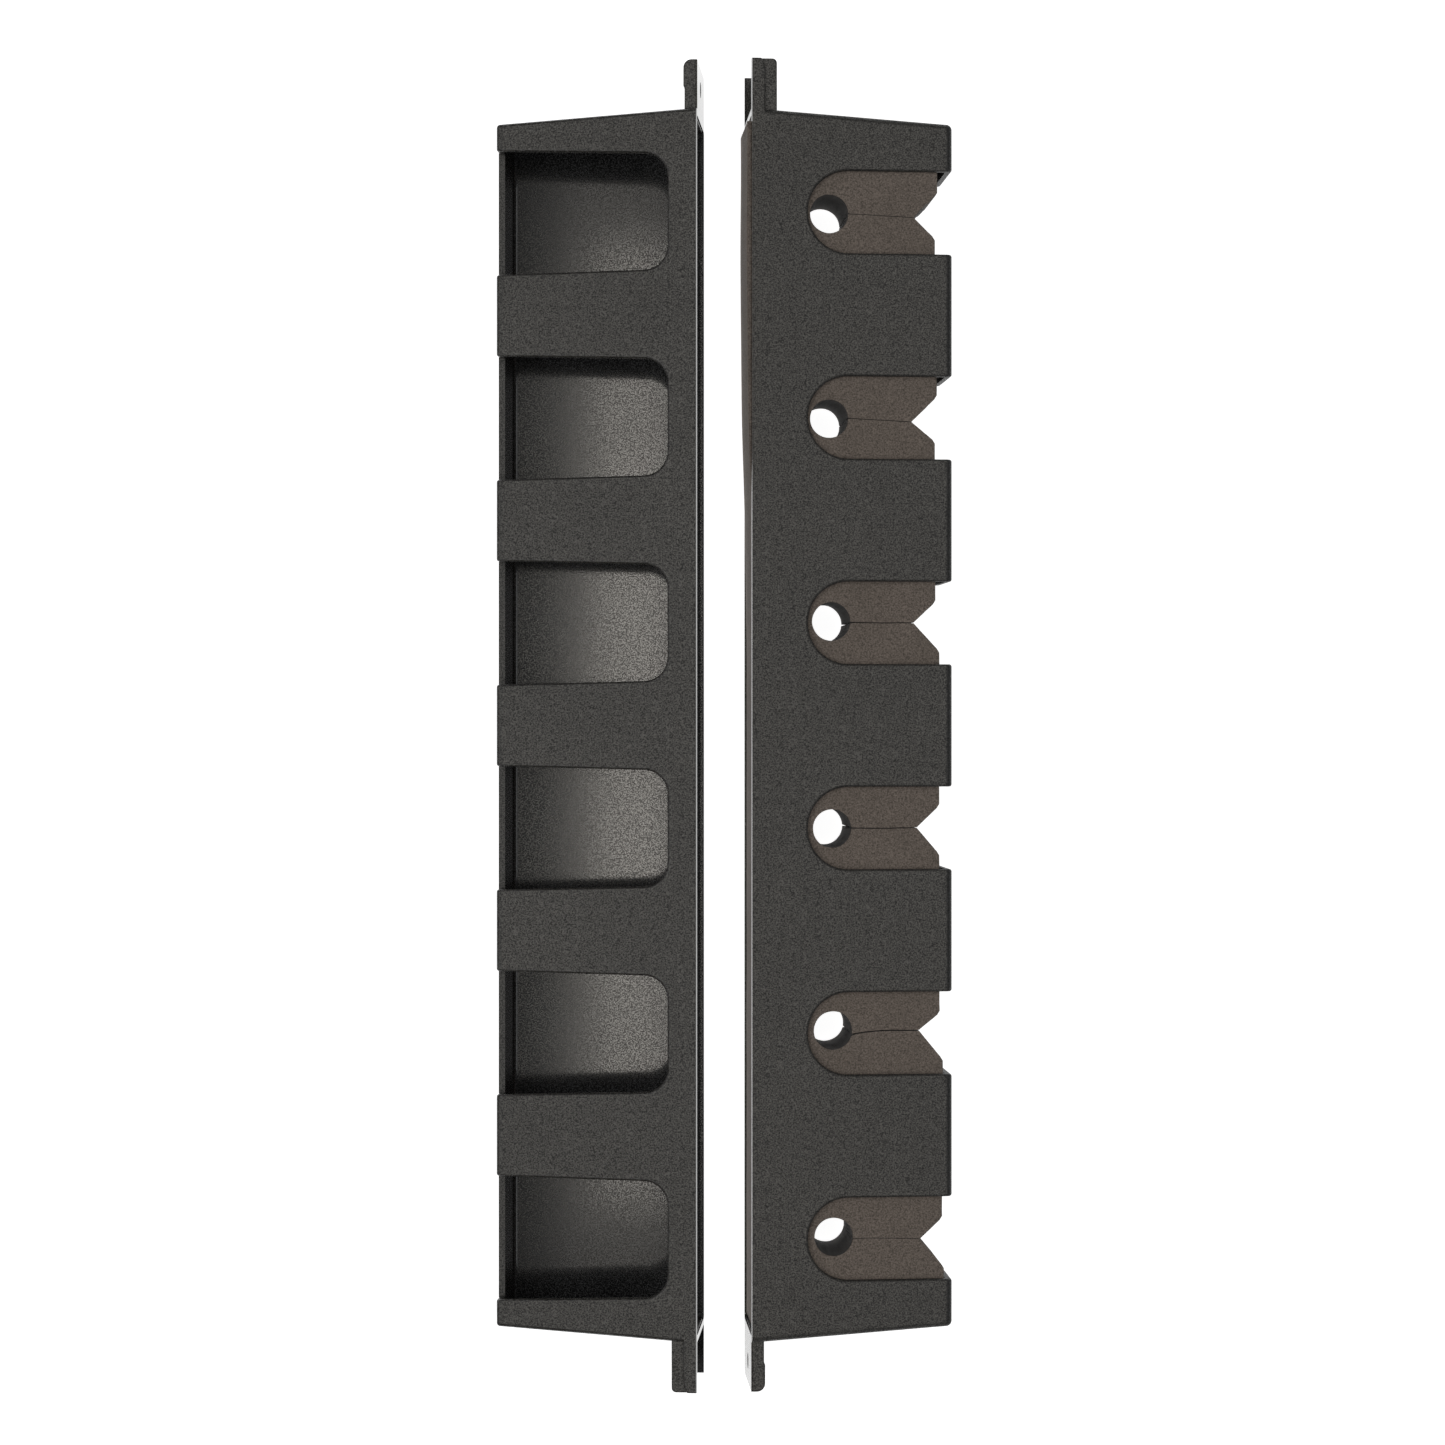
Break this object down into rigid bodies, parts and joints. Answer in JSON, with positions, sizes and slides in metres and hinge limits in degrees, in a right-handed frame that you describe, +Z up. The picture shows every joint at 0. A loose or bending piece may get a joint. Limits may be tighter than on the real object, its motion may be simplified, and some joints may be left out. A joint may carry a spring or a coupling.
{
  "type": "wall cue rack",
  "caption": "Two-rail wall rack for upright cues or rods: a butt rail with floor and windows, and a slotted grip rail with a slit foam strip.",
  "frame": {"origin": "centre of the bounding box at its lowest level, on the surface that both rails stand on, midway between their backs", "axes": "+Z up, towards the top plates; +Y along both rails, towards the grip rail's hood ear; +X out through the grip rail's front, and -X out through the butt rail's front"},
  "size_m": [0.1556, 0.454, 0.0449],
  "materials": {
    "rail_plastic": "fine moulded grain, satin-matte",
    "grip_foam": "closed-cell foam, matte, fine cells on cut faces"
  },
  "bodies": {
    "butt_rail": {"butt_rail_housing": "rail_plastic"},
    "grip_rail": {"grip_rail_housing": "rail_plastic", "foam_strip": "grip_foam"}
  },
  "joints": [
    {"name": "rail_spacing", "type": "slide", "parent": "butt_rail", "child": "grip_rail", "axis": [1, 0, 0], "range_m": [0, 0.25]}
  ]
}
